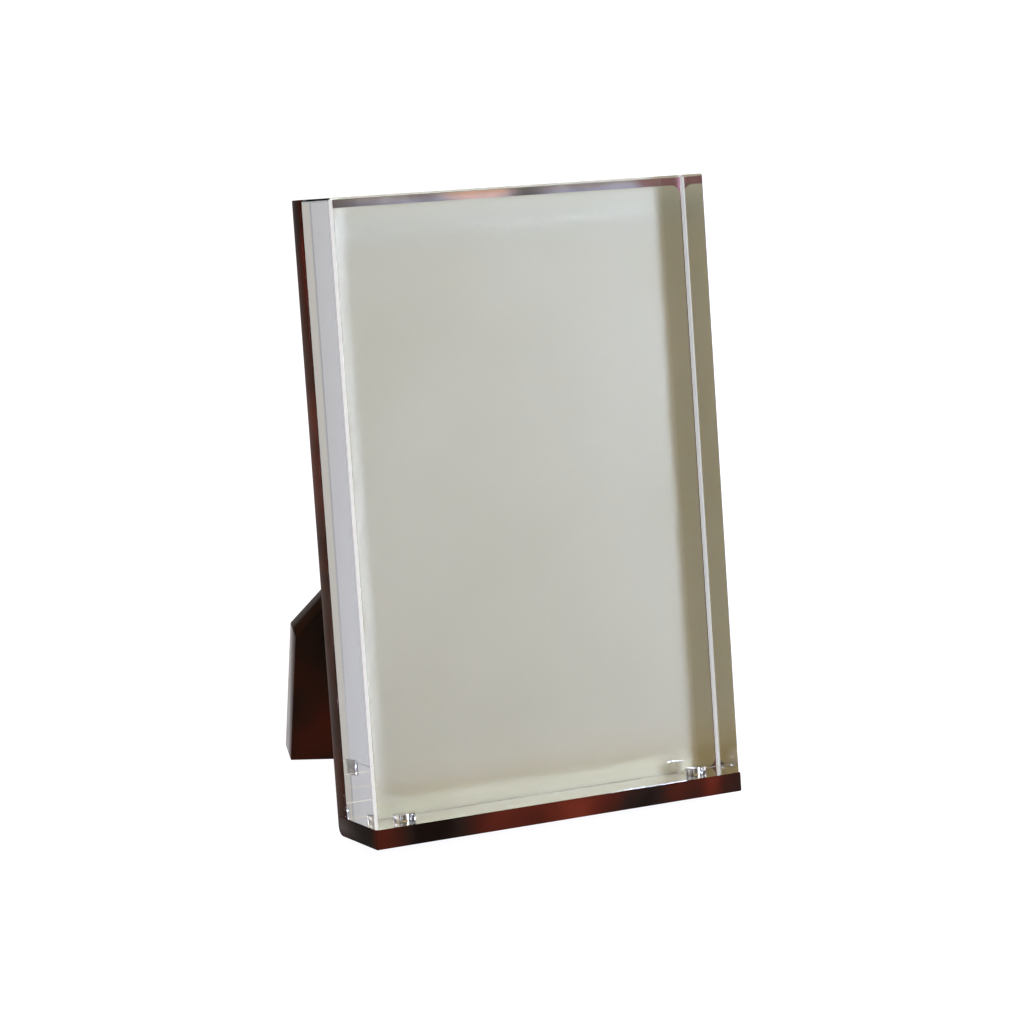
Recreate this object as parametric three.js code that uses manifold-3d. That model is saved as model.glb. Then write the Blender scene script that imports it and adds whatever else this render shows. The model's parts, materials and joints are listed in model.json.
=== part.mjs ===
// A free-standing acrylic photo frame for one upright 4 x 6 inch print: a tortoiseshell back panel
// bonded on a narrow base ledge, a diagonal easel leg behind, and a thick clear block that stands on
// the ledge and is held there by two pairs of disc magnets. The print slips in between block and panel.
// Millimetres. Finished frame: +X right, +Y back, +Z up, standing on z = 0.
import * as THREE from 'three';
import { mergeVertices } from 'three/addons/utils/BufferGeometryUtils.js';
import Module from 'manifold-3d';

const wasm = await Module();
wasm.setup();

// Driving dimensions of the stand
const frameWidth = 103;
const frameHeight = 155;
const ledgeDepth = 20;
const sheetThickness = 5;
const leanDegrees = 15;
const heelRadius = 2.5;
const sheetEase = 0.4;

// The print and the clear block in front of it
const printWidth = 101.6;
const printHeight = 152.4;
const printThickness = 0.4;
const printCornerRadius = 2.5;
const blockBevel = 0.8;

// Disc magnets, one pair near each end of the ledge
const magnetDiameter = 6;
const magnetThickness = 2;
const magnetEdge = 0.2;
const magnetFromSide = 10.2;
const magnetFromFront = 9.3;

// The easel leg: a thick strip that runs down to the left and backwards from its seat on the panel
const legWidth = 40;
const legThickness = 10;
const legSlantDegrees = 40;
const legOpeningDegrees = 25.7;
const legSeatRight = 10.6;
const legSeatHeight = 79.4;
const legTipFromSide = 5.2;
const legTipTurnDegrees = 13.8;

// Clearances
const bondLine = 0.3;
const seatGap = 0.3;
const printGap = 0.3;
const magnetGap = 0.25;

// Facets
const heelSteps = 12;
const cornerSteps = 8;
const discSides = 48;

// Worked out from the values above
const lean = THREE.MathUtils.degToRad(leanDegrees);
const legSlant = THREE.MathUtils.degToRad(legSlantDegrees);
const legOpening = THREE.MathUtils.degToRad(legOpeningDegrees);
const legTipTurn = THREE.MathUtils.degToRad(legTipTurnDegrees);
const printSlot = printThickness + 2 * printGap;
const magnetX = frameWidth / 2 - magnetFromSide;
const magnetY = magnetFromFront - ledgeDepth;
const pocketRadius = magnetDiameter / 2 + magnetGap;
const pocketDepth = magnetThickness + magnetGap;

const tortoiseshell = { color: 0x3a1810, roughness: 0.08, metalness: 0 };
const clearAcrylic = { color: 0xe4ecee, roughness: 0.02, metalness: 0, transparent: true, opacity: 0.3 };
const printPaper = { color: 0xc3c4b4, roughness: 0.8, metalness: 0 };
const nickel = { color: 0xc9cbd0, roughness: 0.22, metalness: 1 };

// A closed solid from a geometry, for cutting
function solid(geometry) {
  const bare = geometry.clone();
  bare.deleteAttribute('normal');
  bare.deleteAttribute('uv');
  const merged = mergeVertices(bare, 1e-4);
  const mesh = new wasm.Mesh({
    numProp: 3,
    vertProperties: new Float32Array(merged.attributes.position.array),
    triVerts: new Uint32Array(merged.index.array),
  });
  return new wasm.Manifold(mesh);
}

// The cut solid back as a geometry
function geometryOf(cutSolid) {
  const mesh = cutSolid.getMesh();
  const geometry = new THREE.BufferGeometry();
  geometry.setAttribute('position', new THREE.BufferAttribute(mesh.vertProperties, 3));
  geometry.setIndex(new THREE.BufferAttribute(mesh.triVerts, 1));
  geometry.computeVertexNormals();
  return geometry;
}

function piece(name, geometry, finish) {
  const mesh = new THREE.Mesh(geometry, new THREE.MeshStandardMaterial(finish));
  mesh.name = name;
  return mesh;
}

// A rectangle's outline whose corners are cut at 45 degrees by ease, but for one rounded corner, low
// and far, when radius is given
function plateOutline(low, high, ease, radius = 0) {
  const shape = new THREE.Shape();
  shape.moveTo(low.x + ease, low.y);
  if (radius > 0) {
    shape.lineTo(high.x - radius, low.y);
    for (let step = 1; step <= heelSteps; step++) {
      const angle = -Math.PI / 2 + (step / heelSteps) * (Math.PI / 2);
      const centreX = high.x - radius;
      const centreY = low.y + radius;
      shape.lineTo(centreX + radius * Math.cos(angle), centreY + radius * Math.sin(angle));
    }
  } else {
    shape.lineTo(high.x - ease, low.y);
    shape.lineTo(high.x, low.y + ease);
  }
  shape.lineTo(high.x, high.y - ease);
  shape.lineTo(high.x - ease, high.y);
  shape.lineTo(low.x + ease, high.y);
  shape.lineTo(low.x, high.y - ease);
  shape.lineTo(low.x, low.y + ease);
  return shape;
}

// A plate as wide as the frame whose section in the side view is the outline, with its ends eased too
function frameWidePlate(outline, ease) {
  const geometry = new THREE.ExtrudeGeometry(outline, {
    depth: frameWidth - 2 * ease,
    bevelEnabled: true,
    bevelSegments: 1,
    bevelThickness: ease,
    bevelSize: ease,
    bevelOffset: -ease,
    curveSegments: 1,
  });
  geometry.translate(0, 0, ease - frameWidth / 2);
  const sideways = new THREE.Matrix4().makeBasis(
    new THREE.Vector3(0, 1, 0), new THREE.Vector3(0, 0, 1), new THREE.Vector3(1, 0, 0));
  return geometry.applyMatrix4(sideways);
}

// A round cutter for one blind magnet pocket, open at openingZ and deep towards the sign's side
function pocketCutter(x, openingZ, sign) {
  const overshoot = 1;
  const height = pocketDepth + overshoot;
  const cutter = new THREE.CylinderGeometry(pocketRadius, pocketRadius, height, discSides);
  cutter.rotateX(Math.PI / 2);
  cutter.translate(x, magnetY, openingZ + sign * (height / 2 - overshoot));
  return solid(cutter);
}

function withPockets(geometry, openingZ, sign) {
  let body = solid(geometry);
  for (const x of [-magnetX, magnetX]) {
    body = body.subtract(pocketCutter(x, openingZ, sign));
  }
  return geometryOf(body);
}

function makeBackPanel() {
  const low = new THREE.Vector2(0, bondLine);
  const high = new THREE.Vector2(sheetThickness, frameHeight);
  return piece('back_panel', frameWidePlate(plateOutline(low, high, sheetEase), sheetEase), tortoiseshell);
}

function makeBaseLedge() {
  const low = new THREE.Vector2(-ledgeDepth, -sheetThickness);
  const high = new THREE.Vector2(sheetThickness, 0);
  const plate = frameWidePlate(plateOutline(low, high, sheetEase, heelRadius), sheetEase);
  return piece('base_ledge', withPockets(plate, 0, -1), tortoiseshell);
}

function makeClearBlock() {
  const low = new THREE.Vector2(-ledgeDepth, seatGap);
  const high = new THREE.Vector2(-printSlot, frameHeight);
  const plate = frameWidePlate(plateOutline(low, high, blockBevel), blockBevel);
  return piece('clear_block', withPockets(plate, seatGap, 1), clearAcrylic);
}

function makePhotoInsert() {
  const halfWidth = printWidth / 2;
  const radius = printCornerRadius;
  const shape = new THREE.Shape();
  shape.moveTo(-halfWidth + radius, 0);
  shape.lineTo(halfWidth - radius, 0);
  shape.absarc(halfWidth - radius, radius, radius, -Math.PI / 2, 0, false);
  shape.absarc(halfWidth - radius, printHeight - radius, radius, 0, Math.PI / 2, false);
  shape.absarc(-halfWidth + radius, printHeight - radius, radius, Math.PI / 2, Math.PI, false);
  shape.absarc(-halfWidth + radius, radius, radius, Math.PI, 1.5 * Math.PI, false);
  const geometry = new THREE.ExtrudeGeometry(shape, {
    depth: printThickness,
    bevelEnabled: false,
    curveSegments: cornerSteps,
  });
  geometry.rotateX(Math.PI / 2);
  geometry.translate(0, -printGap, seatGap);
  return piece('photo_insert', geometry, printPaper);
}

// A disc magnet that stands with its lower face at bottomZ
function makeMagnet(name, x, bottomZ) {
  const radius = magnetDiameter / 2;
  const profile = [
    [0, 0], [radius - magnetEdge, 0], [radius, magnetEdge],
    [radius, magnetThickness - magnetEdge], [radius - magnetEdge, magnetThickness], [0, magnetThickness],
  ];
  const geometry = new THREE.LatheGeometry(profile.map(([r, z]) => new THREE.Vector2(r, z)), discSides);
  geometry.rotateX(Math.PI / 2);
  geometry.translate(x, magnetY, bottomZ);
  return piece(name, geometry, nickel);
}

// Takes away all of the body that lies behind a plane's face, seen against its normal
function trimBehind(body, point, normal) {
  const reach = 4 * (frameWidth + frameHeight);
  const turn = new THREE.Quaternion().setFromUnitVectors(new THREE.Vector3(0, 0, 1), normal);
  const cutter = new THREE.BoxGeometry(reach, reach, reach);
  cutter.translate(0, 0, -reach / 2);
  cutter.applyQuaternion(turn);
  cutter.translate(point.x, point.y, point.z);
  return body.subtract(solid(cutter));
}

// How far the leaning stand is lifted so that its rounded heel touches the table
function heelLift() {
  const centreBack = sheetThickness - heelRadius;
  const centreUp = heelRadius - sheetThickness;
  return heelRadius - (centreUp * Math.cos(lean) - centreBack * Math.sin(lean));
}

// The leg, in the leaning stand's own axes. Its tip is cut twice: level, to stand on the table, and
// upright, so that no corner sticks out past the side of the frame.
function makeEaselLeg() {
  const across = new THREE.Vector3(Math.cos(legSlant), 0, -Math.sin(legSlant));
  const down = new THREE.Vector3(
    -Math.sin(legSlant) * Math.cos(legOpening), Math.sin(legOpening), -Math.cos(legSlant) * Math.cos(legOpening));
  const rearward = new THREE.Vector3().crossVectors(across, down);
  const seat = new THREE.Vector3(legSeatRight, sheetThickness, legSeatHeight);

  const tableUp = new THREE.Vector3(0, -Math.sin(lean), Math.cos(lean));
  const table = new THREE.Vector3().copy(tableUp).multiplyScalar(-heelLift());
  const toTable = tableUp.dot(table.clone().sub(seat)) / tableUp.dot(down);
  const footEdge = new THREE.Vector3().crossVectors(rearward, tableUp);
  const footPoint = seat.clone().addScaledVector(down, toTable);
  const tipX = legTipFromSide - frameWidth / 2;
  const tip = footPoint.addScaledVector(footEdge, (tipX - footPoint.x) / footEdge.x);
  const tipInward = new THREE.Vector3(
    Math.cos(legTipTurn), -Math.sin(legTipTurn) * Math.cos(lean), -Math.sin(legTipTurn) * Math.sin(lean));

  const spare = 2 * (legWidth + legThickness);
  const strip = new THREE.BoxGeometry(legWidth, legThickness, toTable + 2 * spare);
  strip.translate(0, legThickness / 2, -toTable / 2);
  strip.applyMatrix4(new THREE.Matrix4().makeBasis(across, rearward, down.clone().negate()));
  strip.translate(seat.x, seat.y, seat.z);

  let body = solid(strip);
  body = trimBehind(body, new THREE.Vector3(0, sheetThickness + bondLine, 0), new THREE.Vector3(0, 1, 0));
  body = trimBehind(body, table, tableUp);
  body = trimBehind(body, tip, tipInward);
  return piece('easel_leg', geometryOf(body), tortoiseshell);
}

const leaning = new THREE.Group();
leaning.rotation.x = -lean;
leaning.position.z = heelLift();
leaning.add(
  makeBackPanel(),
  makeBaseLedge(),
  makeEaselLeg(),
  makeClearBlock(),
  makePhotoInsert(),
  makeMagnet('block_magnet_left', -magnetX, seatGap),
  makeMagnet('block_magnet_right', magnetX, seatGap),
  makeMagnet('ledge_magnet_left', -magnetX, -magnetThickness),
  makeMagnet('ledge_magnet_right', magnetX, -magnetThickness),
);

// The frame's origin is on the table, under the middle of its own box
const photoFrame = new THREE.Group();
photoFrame.add(leaning);
photoFrame.updateMatrixWorld(true);
const box = new THREE.Box3().setFromObject(photoFrame, true);
leaning.position.y = -(box.min.y + box.max.y) / 2;

export default photoFrame;
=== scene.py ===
"""A free-standing acrylic photo frame: clear block, paper insert and tortoiseshell stand, in metres."""
import json
import math

import bmesh
import bpy
from mathutils import Matrix, Vector


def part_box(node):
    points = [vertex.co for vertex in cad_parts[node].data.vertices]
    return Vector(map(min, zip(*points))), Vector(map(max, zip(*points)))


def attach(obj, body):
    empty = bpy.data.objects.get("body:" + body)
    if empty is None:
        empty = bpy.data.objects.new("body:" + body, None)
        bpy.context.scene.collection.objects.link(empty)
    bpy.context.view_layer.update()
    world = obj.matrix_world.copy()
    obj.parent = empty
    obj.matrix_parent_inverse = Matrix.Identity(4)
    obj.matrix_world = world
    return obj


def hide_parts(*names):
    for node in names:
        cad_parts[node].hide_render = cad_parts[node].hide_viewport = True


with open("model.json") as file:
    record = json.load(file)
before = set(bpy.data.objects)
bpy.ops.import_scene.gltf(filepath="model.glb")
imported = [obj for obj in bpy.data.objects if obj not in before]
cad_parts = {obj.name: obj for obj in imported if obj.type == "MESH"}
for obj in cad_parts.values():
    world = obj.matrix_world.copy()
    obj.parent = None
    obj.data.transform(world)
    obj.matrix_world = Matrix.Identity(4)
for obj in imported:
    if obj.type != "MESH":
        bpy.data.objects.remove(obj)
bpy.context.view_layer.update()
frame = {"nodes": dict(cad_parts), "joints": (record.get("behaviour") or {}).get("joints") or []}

# Sizes of the frame, as built
MM = 0.001
WIDTH = 103 * MM
HEIGHT = 155 * MM
BLOCK_TOP = HEIGHT - 0.1 * MM
LEDGE_DEPTH = 20 * MM
SHEET = 5 * MM
HEEL_RADIUS = 2.5 * MM
TOE_RADIUS = 0.5 * MM
SEAT_GAP = 0.3 * MM
PRINT_WIDTH = 101.6 * MM
PRINT_HEIGHT = 152.4 * MM
PRINT_THICKNESS = 0.4 * MM
PRINT_GAP = 0.3 * MM
PRINT_SLOT = PRINT_THICKNESS + 2 * PRINT_GAP
PRINT_SHEET = 0.3 * MM
PRINT_CORNER = 2.5 * MM
MAGNET_RADIUS = 3 * MM
MAGNET_THICKNESS = 2 * MM
MAGNET_EDGE = 0.25 * MM
MAGNET_FROM_END = 10.2 * MM
MAGNET_FROM_FRONT = 9.3 * MM
MAGNET_X = WIDTH / 2 - MAGNET_FROM_END
MAGNET_Y = MAGNET_FROM_FRONT - LEDGE_DEPTH
SIDE_BEVEL = 0.6 * MM
TOP_BEVEL = 0.5 * MM
FOOT_EASE = 0.08 * MM
EDGE_EASE = 0.25 * MM

# How closely the pieces sit on each other, and how finely they are made
HAIRLINE = 0.03 * MM
GLUED = 0.02 * MM
WELD = 0.01 * MM
LEG_SEAT_REACH = 0.5 * MM
POCKET_OVERRUN = 1 * MM
EASE_STEPS = 3
TOE_STEPS = 4
ARC_STEPS = 16
DISC_SIDES = 96
FLAT_ANGLE = math.radians(1)
SMOOTH_ANGLE = math.radians(28)

# A face is an upright bevel where its normal is this diagonal and this level
DIAGONAL = 0.5
LEVEL = 0.1

# A face of the stand is polished where its normal looks back this far
LOOKS_BACK = 0.6

# Camera, fitted to the photograph's corners. Azimuth 0 is in front, positive to the right
CAMERA_AZIMUTH = -26.57
CAMERA_ELEVATION = 19.27
CAMERA_ROLL = math.radians(2.77)
CAMERA_DISTANCE = 0.7618
CAMERA_TARGET_X = -8.80 * MM
CAMERA_TARGET_RISE = 76.99 * MM
CAMERA_LENS = 107.6
CAMERA_SENSOR = 36.0
CAMERA_NEAR = 0.01
CAMERA_FAR = 50

# Studio
FLOOR_REACH = 6.0
FLOOR_COLOUR = (0.15, 0.15, 0.15, 1.0)
FLOOR_GLOW = (0.97, 0.97, 1.0, 1.0)
FLOOR_GLOW_STRENGTH = 1.0
KEY_AZIMUTH = 37.3
KEY_ELEVATION = 25.3
KEY_DISTANCE = 0.75
KEY_SIZE = 0.14
KEY_AIM = Vector((95 * MM, 0, 150 * MM))
KEY_SPREAD = math.radians(60)
KEY_POWER = 1.17
KEY_COLOUR = (0.53, 0.625, 1.0)
AMBIENT = (0.05, 0.05, 0.05)

# Soft patches of sky: azimuth, elevation, the cosines to its middle where it starts and is full, colour
SKY_GLOWS = [
    (0, 90, 0.55, 0.90, (1.35, 0.88, 0.30)),
    (180, 60, 0.75, 0.97, (1.3, 1.35, 1.4)),
    (30, 10, 0.85, 0.99, (1.1, 1.0, 0.85)),
    (-85, 10, 0.75, 0.97, (0.62, 0.56, 0.44)),
]

# Clear acrylic, with polished faces and ground bevels. The ground bevels carry a painted glow, a steady
# emission that stands in for the light they gather
ACRYLIC_IOR = 1.49
ACRYLIC_COLOUR = (1.0, 1.0, 1.0, 1.0)
ACRYLIC_DENSITY = 17.0
ACRYLIC_TINT = (0.58, 0.597, 0.62, 1.0)
# Painted glow of the ground bevels: their emission colour and strength
BEVEL_PAINTED_GLOW = (0.92, 0.96, 1.0, 1.0)
BEVEL_PAINTED_GLOW_STRENGTH = 0.42
BEVEL_CLARITY = 0.6
BEVEL_COLOURS = ((0.94, 0.94, 0.97), (1.0, 1.0, 1.0))
BEVEL_ROUGHNESS = (0.45, 0.65)

# Tortoiseshell acrylic. The cloud values run from black at 0 to red at 1
CUT_EDGE_IOR = 1.05
CUT_EDGE_CLOUDS = (0.12, 0.78)
POLISHED_IOR = 1.28
POLISHED_CLOUDS = (-0.10, 1.10)
POLISHED_HONEY = 0.85
SHELL_ROUGHNESS = (0.04, 0.11)
SHELL_WAVE = 0.04 * MM
SHELL_WAVE_STRENGTH = 0.04
SHELL_COLOURS = [
    (0.0, (0.006, 0.003, 0.002)),
    (0.12, (0.013, 0.0085, 0.006)),
    (0.34, (0.020, 0.009, 0.006)),
    (0.55, (0.040, 0.0095, 0.005)),
    (0.78, (0.070, 0.012, 0.006)),
    (1.0, (0.115, 0.020, 0.009)),
]
HONEY = (0.26, 0.075, 0.018)
# Colours of the painted glow along the panel's top edge, standing in for light through the sheet. Amber
# also gives a faint amber near the left end
AMBER_AND_PAINTED_GLOW = (0.80, 0.53, 0.46)
PAINTED_SMOKE_GLOW = (0.415, 0.41, 0.51)
PAINTED_WINE_GLOW = (0.23, 0.10, 0.115)
GLOW_AND_TINT_SHARES = (0.55, 1.0)

# Blotches of the marking, and of painted glow along the panel's top edge: centre and radii in millimetres
# in the stand's axes, and their strength
BLOTCH_CORE = 0.35
RED_BLOTCHES = [
    ((-7, -20, -2), (24, 16, 16), 0.30),
    ((37, -20, -2), (12, 16, 12), 0.30),
    ((-48, -20, -2), (8, 5, 10), 0.35),
    ((-51, -1, 146), (12, 4, 22), 0.16),
    ((-48, 5, 96), (14, 8, 26), 0.16),
]
BLACK_BLOTCHES = [
    ((-38, -20, -2), (14, 14, 10), 0.28),
    ((-52, -8, -2), (12, 16, 12), 0.24),
    ((22, -20, -2), (8, 10, 8), 0.12),
    ((50, -20, -2), (7, 9, 9), 0.18),
    ((-52, 2, 30), (10, 8, 34), 0.20),
    ((-34, 24, 26), (26, 18, 46), 0.80),
]
# Painted glow: the smoke, wine and amber patches at the panel's top edge stand in for light shining
# through the sheet there. The second amber blotch is a faint amber near the left end
PAINTED_SMOKE_GLOW_BLOTCHES = [((28, 0, 156), (24, 6, 12), 1.0), ((-18, 0, 157), (37, 4, 10), 1.0)]
PAINTED_WINE_GLOW_BLOTCHES = [((49.4, 0, 157), (14, 5, 10), 3.0)]
AMBER_AND_PAINTED_GLOW_BLOTCHES = [((-6, 0, 156), (14, 8, 8), 1.0), ((-52, 2, 60), (8, 12, 90), 0.045)]
TINTED_AND_PAINTED_GLOW_BLOTCHES = [(PAINTED_SMOKE_GLOW_BLOTCHES, PAINTED_SMOKE_GLOW), (PAINTED_WINE_GLOW_BLOTCHES, PAINTED_WINE_GLOW), (AMBER_AND_PAINTED_GLOW_BLOTCHES, AMBER_AND_PAINTED_GLOW)]

# Paper, with painted shade: darker and yellower towards its foot
PAPER_ROUGHNESS = 0.85
PAPER_IOR = 1.4
PAPER_COLOURS = ((0.442, 0.428, 0.298), (0.466, 0.452, 0.322))
PAPER_FIBRE = 0.03 * MM
PAPER_FIBRE_STRENGTH = 0.10
# Painted shade at the card's foot: its colour is multiplied by this, fading out between these heights
FOOT_PAINTED_SHADE = (0.98, 0.97, 0.83)
FOOT_PAINTED_SHADE_HEIGHTS = (3 * MM, 10 * MM)

# Nickel plate
NICKEL_COLOUR = (0.80, 0.79, 0.80, 1.0)
NICKEL_ROUGHNESS = (0.05, 0.14)
NICKEL_MARK = 0.02 * MM
NICKEL_MARK_STRENGTH = 0.05

# Noises: cells per metre, layers of finer cells, how strong these are, and how far the cells are stirred
CLOUDS = dict(scale=36.0, detail=2.0, rough=0.4, distortion=1.1)
HONEY_WINDOWS = dict(scale=27.0, detail=2.5, distortion=1.6)
STREAKS = dict(scale=90.0, detail=3.0, distortion=0.6)
FLECKS = dict(scale=420.0, detail=4.0)
WAVES = dict(scale=120.0, detail=1.0)
GRIT = dict(scale=2400.0, detail=2.0)
PAPER_CLOUDS = dict(scale=22.0, detail=2.0)
PAPER_FIBRES = dict(scale=2600.0, detail=3.0)
TURNING_MARKS = dict(scale=1800.0, detail=2.0)

# The values of a noise between which its effect rises
NOISE_RISE = (0.3, 0.7)
CLOUD_RISE = (0.25, 0.75)
HONEY_RISE = (0.54, 0.74)
STREAK_RISE = (0.3, 0.6)
PAPER_CLOUD_RISE = (0.35, 0.65)

# The colour sockets of a mix node, which go by number because their names repeat
MIX_UNDER = 6
MIX_OVER = 7
MIX_RESULT = 2

# The stand's own axes: +X right, BACK through the panel, UP along it
UP = Vector(frame["joints"][0]["axis"]).normalized()
BACK = Vector((0, UP.z, -UP.y))
TURN = Matrix((Vector((1, 0, 0)), BACK, UP)).transposed()


def stand_matrix():
    """From the stand's own axes, with the inner corner of panel and ledge at zero, to the CAD's frame."""
    low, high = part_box("photo_insert")
    middle = Vector((0, -(PRINT_GAP + PRINT_THICKNESS / 2), SEAT_GAP + PRINT_HEIGHT / 2))
    return Matrix.Translation((low + high) / 2 - TURN @ middle) @ TURN.to_4x4()


STAND = stand_matrix()


# Mesh helpers

def add_piece(name, bm, materials, body, node):
    """Makes the piece from its mesh, in the stand's axes, gives it its materials and body, and hides the
    CAD node it replaces.
    """
    mesh = bpy.data.meshes.new(name)
    bm.to_mesh(mesh)
    bm.free()
    mesh.transform(STAND)
    smooth(mesh)
    obj = bpy.data.objects.new(name, mesh)
    bpy.context.scene.collection.objects.link(obj)
    for material in materials:
        mesh.materials.append(material)
    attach(obj, body)
    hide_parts(node)
    return obj


def smooth(mesh):
    """Shades the mesh smooth, apart from its sharp edges."""
    for polygon in mesh.polygons:
        polygon.use_smooth = True
    mesh.set_sharp_from_angle(angle=SMOOTH_ANGLE)


def drawn_out(outline, shift):
    """A closed solid between the flat outline and the same outline moved by the shift."""
    bm = bmesh.new()
    face = bm.faces.new([bm.verts.new(point) for point in outline])
    pushed = bmesh.ops.extrude_face_region(bm, geom=[face])
    moved = [v for v in pushed["geom"] if isinstance(v, bmesh.types.BMVert)]
    bmesh.ops.translate(bm, verts=moved, vec=shift)
    bmesh.ops.recalc_face_normals(bm, faces=bm.faces)
    return bm


def plate(section):
    """A frame-wide plate with this section in the side view."""
    return drawn_out([(-WIDTH / 2, y, z) for y, z in section], (WIDTH, 0, 0))


def disc(radius, depth):
    """A round disc that lies flat with its middle at zero."""
    bm = bmesh.new()
    bmesh.ops.create_cone(
        bm, cap_ends=True, segments=DISC_SIDES, radius1=radius, radius2=radius, depth=depth)
    return bm


def quarter_arc(centre_a, centre_b, radius, quarter, steps):
    """Points of a quarter circle that starts after the given number of right angles."""
    points = []
    for step in range(steps + 1):
        angle = (quarter + step / steps) * math.pi / 2
        points.append((centre_a + radius * math.cos(angle), centre_b + radius * math.sin(angle)))
    return points


def at_height(z):
    """Picks the edges that lie level at this height."""
    return lambda e: all(abs(v.co.z - z) < HAIRLINE / 2 for v in e.verts)


def bevel_edges(bm, chosen, offset, steps=1):
    """Bevels those of the sharp edges that are chosen."""
    edges = [e for e in bm.edges if e.calc_face_angle() > SMOOTH_ANGLE and chosen(e)]
    bmesh.ops.bevel(bm, geom=edges, offset=offset, segments=steps, profile=0.5, affect="EDGES")


def subtract_pockets(obj, opening, direction, radius, depth):
    """Cuts the two blind magnet pockets into a finished piece."""
    for x in (-MAGNET_X, MAGNET_X):
        bm = disc(radius, depth + POCKET_OVERRUN)
        shift = opening + direction * (depth - POCKET_OVERRUN) / 2
        bmesh.ops.translate(bm, verts=bm.verts, vec=(x, MAGNET_Y, shift))
        mesh = bpy.data.meshes.new("pocket")
        bm.to_mesh(mesh)
        bm.free()
        mesh.transform(STAND)
        cutter = bpy.data.objects.new("pocket", mesh)
        bpy.context.scene.collection.objects.link(cutter)
        cut = obj.modifiers.new("pocket", "BOOLEAN")
        cut.operation = "DIFFERENCE"
        cut.solver = "EXACT"
        cut.object = cutter
        bpy.context.view_layer.update()
        done = bpy.data.meshes.new_from_object(obj.evaluated_get(bpy.context.evaluated_depsgraph_get()))
        obj.modifiers.clear()
        obj.data = done
        bpy.data.objects.remove(cutter)
    smooth(obj.data)


# Material helpers

class Nodes:
    """Short calls for building one material's nodes."""

    def __init__(self, name):
        self.material = bpy.data.materials.new(name)
        self.material.use_nodes = True
        self.tree = self.material.node_tree
        self.tree.nodes.clear()
        self.output = self.add("ShaderNodeOutputMaterial")

    def add(self, kind, **settings):
        """Adds a node. A setting goes to the socket of its name, or else to the property."""
        node = self.tree.nodes.new(kind)
        for key, value in settings.items():
            if key in node.inputs:
                node.inputs[key].default_value = value
            else:
                setattr(node, key, value)
        return node

    def link(self, source, target):
        self.tree.links.new(source, target)

    def noise(self, place, scale, detail, rough=0.5, distortion=0.0):
        node = self.add(
            "ShaderNodeTexNoise", Scale=scale, Detail=detail, Roughness=rough, Distortion=distortion)
        self.link(place, node.inputs["Vector"])
        return node.outputs["Fac"]

    def ramp(self, value, stops, interpolation="LINEAR"):
        """The value as a colour, from stops of a value and its colour."""
        node = self.add("ShaderNodeValToRGB")
        node.color_ramp.interpolation = interpolation
        elements = node.color_ramp.elements
        while len(elements) < len(stops):
            elements.new(0.5)
        for element, (place, colour) in zip(elements, stops):
            element.position = place
            element.color = (*colour, 1.0)
        self.link(value, node.inputs["Fac"])
        return node.outputs["Color"]

    def scaled(self, value, given, wanted, curve="LINEAR"):
        """Turns values over the given range into values over the wanted range."""
        node = self.add("ShaderNodeMapRange", interpolation_type=curve)
        for key, number in zip(("From Min", "From Max", "To Min", "To Max"), (*given, *wanted)):
            node.inputs[key].default_value = number
        self.link(value, node.inputs["Value"])
        return node.outputs["Result"]

    def mixed(self, share, under, over, blend="MIX"):
        """The colour under, with a share of the colour over."""
        node = self.add("ShaderNodeMix", data_type="RGBA", blend_type=blend)
        self.link(share, node.inputs[0])
        self.link(under, node.inputs[MIX_UNDER])
        node.inputs[MIX_OVER].default_value = (*over, 1.0)
        return node.outputs[MIX_RESULT]

    def bump(self, height, strength, distance):
        node = self.add("ShaderNodeBump", Strength=strength, Distance=distance)
        self.link(height, node.inputs["Height"])
        return node.outputs["Normal"]

    def object_place(self):
        """A surface point in the CAD's frame."""
        return self.add("ShaderNodeTexCoord").outputs["Object"]

    def stand_place(self):
        """A surface point in the stand's own axes, so that the marking runs on from sheet to sheet."""
        inverse = STAND.inverted()
        node = self.add("ShaderNodeMapping")
        node.inputs["Location"].default_value = inverse.translation
        node.inputs["Rotation"].default_value = inverse.to_euler()
        self.link(self.object_place(), node.inputs["Vector"])
        return node.outputs["Vector"]


def blotch(n, place, centre, radii):
    """One round the blotch's centre, falling softly to nothing at its rim."""
    away = n.add("ShaderNodeVectorMath", operation="SUBTRACT")
    n.link(place, away.inputs[0])
    away.inputs[1].default_value = [c * MM for c in centre]
    shrunk = n.add("ShaderNodeVectorMath", operation="DIVIDE")
    n.link(away.outputs[0], shrunk.inputs[0])
    shrunk.inputs[1].default_value = [r * MM for r in radii]
    length = n.add("ShaderNodeVectorMath", operation="LENGTH")
    n.link(shrunk.outputs[0], length.inputs[0])
    return n.scaled(length.outputs["Value"], (BLOTCH_CORE, 1.0), (1.0, 0.0), "SMOOTHERSTEP")


def added(n, value, blotches, place, sign=1):
    """The value plus each blotch's strength where the blotch lies, or minus it where the sign is -1."""
    for centre, radii, strength in blotches:
        node = n.add("ShaderNodeMath", operation="MULTIPLY_ADD")
        n.link(blotch(n, place, centre, radii), node.inputs[0])
        node.inputs[1].default_value = sign * strength
        if isinstance(value, float):
            node.inputs[2].default_value = value
        else:
            n.link(value, node.inputs[2])
        value = node.outputs[0]
    return value


# Materials

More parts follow.
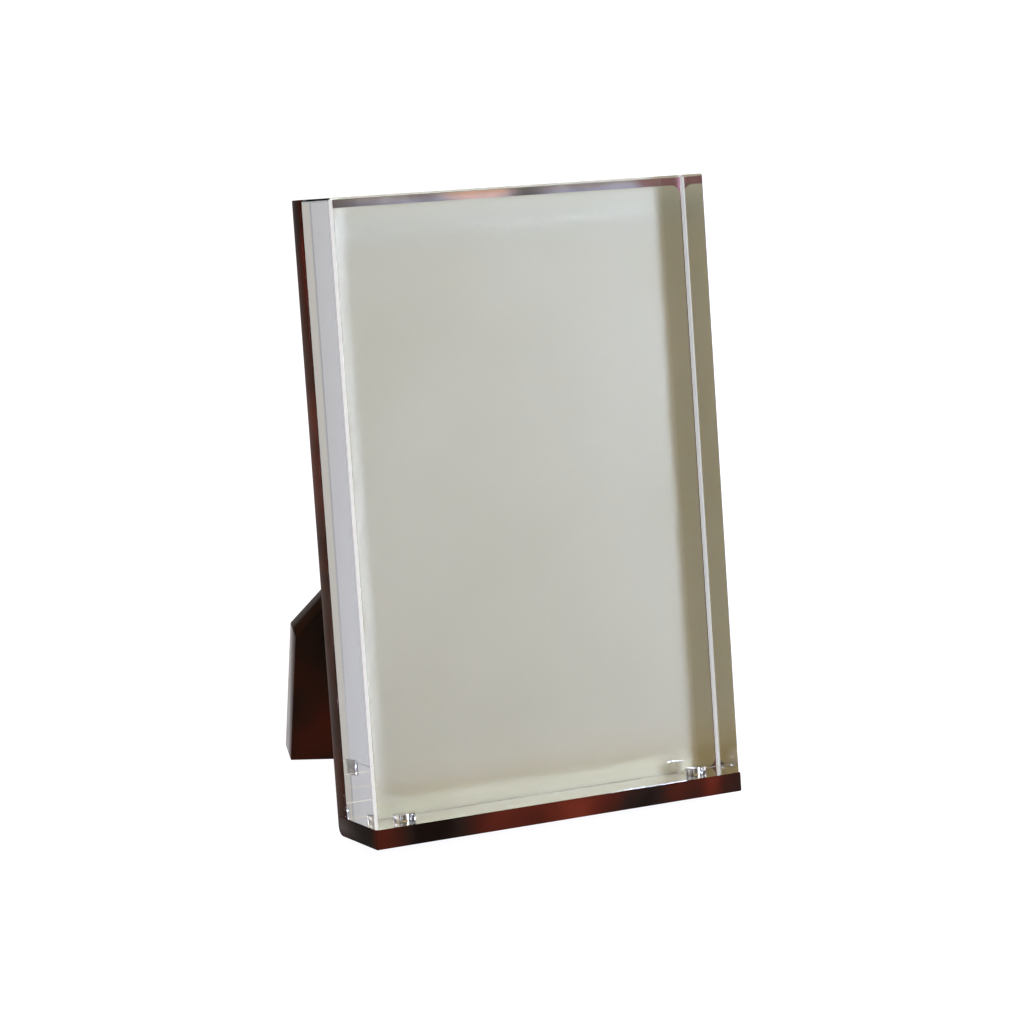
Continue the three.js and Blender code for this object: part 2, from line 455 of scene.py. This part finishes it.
def tortoiseshell(name, ior, cloud_range, honey):
    """Tortoiseshell acrylic: near black clouds over red brown, with honey windows, a faint amber near the
    left end, and painted glow in smoke, wine and amber along the panel's top edge, standing in for light
    through the sheet.
    """
    n = Nodes(name)
    place = n.stand_place()
    value = n.scaled(n.noise(place, **CLOUDS), CLOUD_RISE, cloud_range)
    value = added(n, value, RED_BLOTCHES, place)
    value = added(n, value, BLACK_BLOTCHES, place, -1)
    colour = n.ramp(value, SHELL_COLOURS, "B_SPLINE")
    if honey:
        windows = n.noise(place, **HONEY_WINDOWS)
        colour = n.mixed(n.scaled(windows, HONEY_RISE, (0.0, honey)), colour, HONEY)
    streaks = n.noise(place, **STREAKS)
    # Painted glow: these blotches lay the colour of light through the sheet's top edge onto the surface,
    # broken up by the streaks
    for blotches, tint_and_painted_glow in TINTED_AND_PAINTED_GLOW_BLOTCHES:
        share = n.add("ShaderNodeMath", operation="MULTIPLY")
        n.link(added(n, 0.0, blotches, place), share.inputs[0])
        n.link(n.scaled(streaks, STREAK_RISE, GLOW_AND_TINT_SHARES), share.inputs[1])
        colour = n.mixed(share.outputs[0], colour, tint_and_painted_glow)
    flecks = n.noise(place, **FLECKS)
    waves = n.noise(place, **WAVES)
    shader = n.add("ShaderNodeBsdfPrincipled", IOR=ior)
    n.link(colour, shader.inputs["Base Color"])
    n.link(n.scaled(flecks, NOISE_RISE, SHELL_ROUGHNESS), shader.inputs["Roughness"])
    n.link(n.bump(waves, SHELL_WAVE_STRENGTH, SHELL_WAVE), shader.inputs["Normal"])
    n.link(shader.outputs[0], n.output.inputs["Surface"])
    return n.material


def acrylic_inside(n):
    """Takes a little of the light on its way through the acrylic."""
    absorb = n.add("ShaderNodeVolumeAbsorption", Density=ACRYLIC_DENSITY)
    absorb.inputs["Color"].default_value = ACRYLIC_TINT
    n.link(absorb.outputs[0], n.output.inputs["Volume"])


def clear_acrylic():
    """Polished cast acrylic."""
    n = Nodes("clear_acrylic_polished")
    shader = n.add("ShaderNodeBsdfPrincipled", Roughness=0.0, IOR=ACRYLIC_IOR)
    shader.inputs["Transmission Weight"].default_value = 1.0
    shader.inputs["Base Color"].default_value = ACRYLIC_COLOUR
    n.link(shader.outputs[0], n.output.inputs["Surface"])
    acrylic_inside(n)
    return n.material


def ground_acrylic_with_painted_glow():
    """Ground, unpolished acrylic, which scatters light, with a painted glow: a steady emission that
    stands in for the light the block gathers.
    """
    n = Nodes("clear_acrylic_ground_painted_glow")
    grit = n.noise(n.object_place(), **GRIT)
    shader = n.add("ShaderNodeBsdfPrincipled", IOR=ACRYLIC_IOR)
    shader.inputs["Transmission Weight"].default_value = BEVEL_CLARITY
    # Painted glow: the ground bevels give off light of their own, though they are no lamp
    shader.inputs["Emission Color"].default_value = BEVEL_PAINTED_GLOW
    shader.inputs["Emission Strength"].default_value = BEVEL_PAINTED_GLOW_STRENGTH
    n.link(n.ramp(grit, list(zip(NOISE_RISE, BEVEL_COLOURS))), shader.inputs["Base Color"])
    n.link(n.scaled(grit, NOISE_RISE, BEVEL_ROUGHNESS), shader.inputs["Roughness"])
    n.link(shader.outputs[0], n.output.inputs["Surface"])
    acrylic_inside(n)
    return n.material


def paper():
    """Uncoated off-white card with a faint fibre grain, and painted shade that makes it darker and
    yellower towards its foot.
    """
    n = Nodes("print_paper")
    clouds = n.noise(n.object_place(), **PAPER_CLOUDS)
    fibres = n.noise(n.object_place(), **PAPER_FIBRES)
    colour = n.ramp(clouds, list(zip(PAPER_CLOUD_RISE, PAPER_COLOURS)))
    height = n.add("ShaderNodeSeparateXYZ")
    n.link(n.stand_place(), height.inputs[0])
    # Painted shade: the card is multiplied darker and yellower over its lowest few millimetres
    painted_foot_shade = n.scaled(height.outputs["Z"], FOOT_PAINTED_SHADE_HEIGHTS, (1.0, 0.0))
    colour = n.mixed(painted_foot_shade, colour, FOOT_PAINTED_SHADE, "MULTIPLY")
    shader = n.add("ShaderNodeBsdfPrincipled", Roughness=PAPER_ROUGHNESS, IOR=PAPER_IOR)
    n.link(colour, shader.inputs["Base Color"])
    n.link(n.bump(fibres, PAPER_FIBRE_STRENGTH, PAPER_FIBRE), shader.inputs["Normal"])
    n.link(shader.outputs[0], n.output.inputs["Surface"])
    return n.material


def nickel():
    """Bright nickel plate with fine turning marks."""
    n = Nodes("magnet_nickel")
    marks = n.noise(n.object_place(), **TURNING_MARKS)
    shader = n.add("ShaderNodeBsdfPrincipled", Metallic=1.0)
    shader.inputs["Base Color"].default_value = NICKEL_COLOUR
    n.link(n.scaled(marks, NOISE_RISE, NICKEL_ROUGHNESS), shader.inputs["Roughness"])
    n.link(n.bump(marks, NICKEL_MARK_STRENGTH, NICKEL_MARK), shader.inputs["Normal"])
    n.link(shader.outputs[0], n.output.inputs["Surface"])
    return n.material


CUT_EDGE = tortoiseshell("tortoiseshell_cut_edge", CUT_EDGE_IOR, CUT_EDGE_CLOUDS, honey=0.0)
POLISHED_SHELL = tortoiseshell("tortoiseshell_polished", POLISHED_IOR, POLISHED_CLOUDS, POLISHED_HONEY)
SHELL_FINISHES = [CUT_EDGE, POLISHED_SHELL]
CLEAR_FINISHES = [clear_acrylic(), ground_acrylic_with_painted_glow()]
PAPER = paper()
NICKEL = nickel()


# The pieces

def polish_behind(bm):
    """Gives the faces that look back the polished finish. The sheet's cut edges stay duller."""
    for face in bm.faces:
        face.normal_update()
        face.material_index = 1 if face.normal.y > LOOKS_BACK else 0


def build_panel():
    """The back panel, whose lower edge stays square where it is bonded to the ledge."""
    bm = plate([(0, HAIRLINE), (SHEET, HAIRLINE), (SHEET, HEIGHT), (0, HEIGHT)])
    bonded = at_height(HAIRLINE)
    bevel_edges(bm, lambda e: not bonded(e), EDGE_EASE, EASE_STEPS)
    polish_behind(bm)
    add_piece("panel_sheet", bm, SHELL_FINISHES, "stand", "back_panel")


def build_ledge():
    """The base ledge, with a rounded toe and heel and the magnets' pockets."""
    section = quarter_arc(TOE_RADIUS - LEDGE_DEPTH, TOE_RADIUS - SHEET, TOE_RADIUS, 2, TOE_STEPS)
    section += quarter_arc(SHEET - HEEL_RADIUS, HEEL_RADIUS - SHEET, HEEL_RADIUS, 3, ARC_STEPS)
    section += [(SHEET, 0), (-LEDGE_DEPTH, 0)]
    bm = plate(section)
    bonded = lambda e: all(abs(v.co.z) < HAIRLINE and abs(v.co.y - SHEET) < HAIRLINE for v in e.verts)
    bevel_edges(bm, lambda e: not bonded(e), EDGE_EASE, EASE_STEPS)
    polish_behind(bm)
    obj = add_piece("ledge_sheet", bm, SHELL_FINISHES, "stand", "base_ledge")
    subtract_pockets(obj, 0, -1, MAGNET_RADIUS + GLUED, MAGNET_THICKNESS + GLUED)


def build_block():
    """The clear block, polished all over apart from three of its upright bevels, which are ground."""
    low = HAIRLINE
    front, back = -LEDGE_DEPTH, -PRINT_SLOT
    bm = plate([(front, low), (back, low), (back, BLOCK_TOP), (front, BLOCK_TOP)])
    upright = lambda e: abs(e.verts[0].co.z - e.verts[1].co.z) > HEIGHT / 2
    bevel_edges(bm, upright, SIDE_BEVEL)
    bevel_edges(bm, at_height(BLOCK_TOP), TOP_BEVEL)
    bevel_edges(bm, at_height(low), FOOT_EASE)
    for face in bm.faces:
        diagonal = abs(face.normal.x) > DIAGONAL and abs(face.normal.y) > DIAGONAL
        upright_bevel = diagonal and abs(face.normal.z) < LEVEL
        rear_left = face.normal.x < 0 < face.normal.y
        # Three upright bevels get the ground finish with its painted glow
        face.material_index = 1 if upright_bevel and not rear_left else 0
    obj = add_piece("acrylic_block", bm, CLEAR_FINISHES, "block", "clear_block")
    subtract_pockets(obj, low, 1, MAGNET_RADIUS - GLUED, MAGNET_THICKNESS - GLUED)


def build_print():
    """The print, a thin card with rounded corners in the middle of its slot."""
    half = PRINT_WIDTH / 2
    front = -(PRINT_SLOT + PRINT_SHEET) / 2
    low = HAIRLINE + PRINT_CORNER
    high = HAIRLINE + PRINT_HEIGHT - PRINT_CORNER
    outline = []
    for x, z, quarter in ((half, low, -1), (half, high, 0), (-half, high, 1), (-half, low, 2)):
        outline += quarter_arc(x - math.copysign(PRINT_CORNER, x), z, PRINT_CORNER, quarter, ARC_STEPS)
    bm = drawn_out([(x, front, z) for x, z in outline], (0, PRINT_SHEET, 0))
    add_piece("insert_card", bm, [PAPER], "print", "photo_insert")


def build_magnet(node, x, bottom, body):
    """A disc magnet with rounded rims."""
    bm = disc(MAGNET_RADIUS, MAGNET_THICKNESS)
    bevel_edges(bm, lambda e: True, MAGNET_EDGE, EASE_STEPS)
    bmesh.ops.translate(bm, verts=bm.verts, vec=(x, MAGNET_Y, bottom + MAGNET_THICKNESS / 2))
    add_piece(node + "_disc", bm, [NICKEL], body, node)


def build_leg():
    """The leg's own cut shape with its edges eased and its seat brought up to the panel."""
    bm = bmesh.new()
    bm.from_mesh(frame["nodes"]["easel_leg"].data)
    bmesh.ops.remove_doubles(bm, verts=bm.verts, dist=WELD)
    bmesh.ops.dissolve_limit(bm, angle_limit=FLAT_ANGLE, verts=bm.verts, edges=bm.edges)
    bmesh.ops.transform(bm, matrix=STAND.inverted(), verts=bm.verts)
    for vert in bm.verts:
        if vert.co.y < SHEET + LEG_SEAT_REACH:
            vert.co.y = SHEET + HAIRLINE
    off_the_seat = lambda e: any(v.co.y > SHEET + LEG_SEAT_REACH for v in e.verts)
    bevel_edges(bm, off_the_seat, EDGE_EASE, EASE_STEPS)
    polish_behind(bm)
    add_piece("leg_strip", bm, SHELL_FINISHES, "stand", "easel_leg")


# Studio

def towards(azimuth, elevation):
    """The direction at these degrees round and up. Azimuth 0 is in front, positive to the right."""
    a, e = math.radians(azimuth), math.radians(elevation)
    return Vector((math.sin(a) * math.cos(e), -math.cos(a) * math.cos(e), math.sin(e)))


def build_camera():
    """The camera at the photograph's viewing angle, rolled as the photograph is."""
    away = towards(CAMERA_AZIMUTH, CAMERA_ELEVATION)
    target = STAND.translation + Vector((CAMERA_TARGET_X, 0, CAMERA_TARGET_RISE))
    data = bpy.data.cameras.new("camera")
    data.sensor_width = CAMERA_SENSOR
    data.lens = CAMERA_LENS
    data.clip_start = CAMERA_NEAR
    data.clip_end = CAMERA_FAR
    camera = bpy.data.objects.new("camera", data)
    camera.rotation_mode = "QUATERNION"
    level = away.to_track_quat("Z", "Y")
    roll = Matrix.Rotation(CAMERA_ROLL, 3, "Z").to_quaternion()
    camera.rotation_quaternion = level @ roll
    camera.location = target + away * CAMERA_DISTANCE
    bpy.context.scene.collection.objects.link(camera)
    bpy.context.scene.camera = camera


def build_floor():
    """A white floor that gives off light of its own, so that it stays white to its far edge."""
    bm = bmesh.new()
    bmesh.ops.create_grid(bm, x_segments=1, y_segments=1, size=FLOOR_REACH)
    mesh = bpy.data.meshes.new("floor")
    bm.to_mesh(mesh)
    bm.free()
    floor = bpy.data.objects.new("floor", mesh)
    bpy.context.scene.collection.objects.link(floor)
    n = Nodes("floor_white")
    shader = n.add("ShaderNodeBsdfPrincipled", Roughness=1.0)
    shader.inputs["Specular IOR Level"].default_value = 0.0
    shader.inputs["Base Color"].default_value = FLOOR_COLOUR
    shader.inputs["Emission Color"].default_value = FLOOR_GLOW
    shader.inputs["Emission Strength"].default_value = FLOOR_GLOW_STRENGTH
    n.link(shader.outputs[0], n.output.inputs["Surface"])
    mesh.materials.append(n.material)


def build_key():
    """A square light with a grid, aimed past the frame's upper right so that it lights that part most."""
    data = bpy.data.lights.new("key", "AREA")
    data.shape = "SQUARE"
    data.size = KEY_SIZE
    data.energy = KEY_POWER
    data.color = KEY_COLOUR
    data.spread = KEY_SPREAD
    light = bpy.data.objects.new("key", data)
    middle = Vector((0, 0, HEIGHT / 2))
    light.location = middle + towards(KEY_AZIMUTH, KEY_ELEVATION) * KEY_DISTANCE
    light.rotation_mode = "QUATERNION"
    light.rotation_quaternion = (light.location - KEY_AIM).to_track_quat("Z", "Y")
    light.visible_glossy = False
    bpy.context.scene.collection.objects.link(light)


def sky_glow(tree, place, under, direction, start, full, colour):
    """Adds one soft patch of sky, which rises as the cosine to its middle goes from start to full."""
    facing = tree.nodes.new("ShaderNodeVectorMath")
    facing.operation = "DOT_PRODUCT"
    facing.inputs[1].default_value = direction
    tree.links.new(place, facing.inputs[0])
    rise = tree.nodes.new("ShaderNodeMapRange")
    rise.interpolation_type = "SMOOTHSTEP"
    rise.inputs["From Min"].default_value = start
    rise.inputs["From Max"].default_value = full
    tree.links.new(facing.outputs["Value"], rise.inputs["Value"])
    total = tree.nodes.new("ShaderNodeVectorMath")
    total.operation = "MULTIPLY_ADD"
    tree.links.new(rise.outputs["Result"], total.inputs[0])
    total.inputs[1].default_value = colour
    if isinstance(under, tuple):
        total.inputs[2].default_value = under
    else:
        tree.links.new(under, total.inputs[2])
    return total.outputs[0]


def build_sky():
    """A dim even sky with the soft patches on it."""
    world = bpy.data.worlds.new("studio")
    bpy.context.scene.world = world
    world.use_nodes = True
    tree = world.node_tree
    tree.nodes.clear()
    place = tree.nodes.new("ShaderNodeTexCoord").outputs["Generated"]
    glow = AMBIENT
    for azimuth, elevation, start, full, colour in SKY_GLOWS:
        glow = sky_glow(tree, place, glow, towards(azimuth, elevation), start, full, colour)
    background = tree.nodes.new("ShaderNodeBackground")
    out = tree.nodes.new("ShaderNodeOutputWorld")
    tree.links.new(glow, background.inputs["Color"])
    tree.links.new(background.outputs[0], out.inputs["Surface"])


def set_light_paths():
    """Plain colours, and light paths long enough to go through the block and its bevels."""
    scene = bpy.context.scene
    scene.view_settings.view_transform = "Standard"
    scene.cycles.max_bounces = 24
    scene.cycles.use_guiding = True
    scene.cycles.sample_clamp_indirect = 0
    scene.cycles.blur_glossy = 0
    scene.cycles.transmission_bounces = 20
    scene.cycles.glossy_bounces = 12
    scene.cycles.diffuse_bounces = 6
    scene.cycles.caustics_refractive = True
    scene.cycles.caustics_reflective = True
    scene.cycles.use_denoising = True


build_camera()
build_panel()
build_ledge()
build_block()
build_print()
build_leg()
for side, x in (("left", -MAGNET_X), ("right", MAGNET_X)):
    build_magnet("block_magnet_" + side, x, HAIRLINE, "block")
    build_magnet("ledge_magnet_" + side, x, -MAGNET_THICKNESS, "stand")
build_floor()
build_key()
build_sky()
set_light_paths()
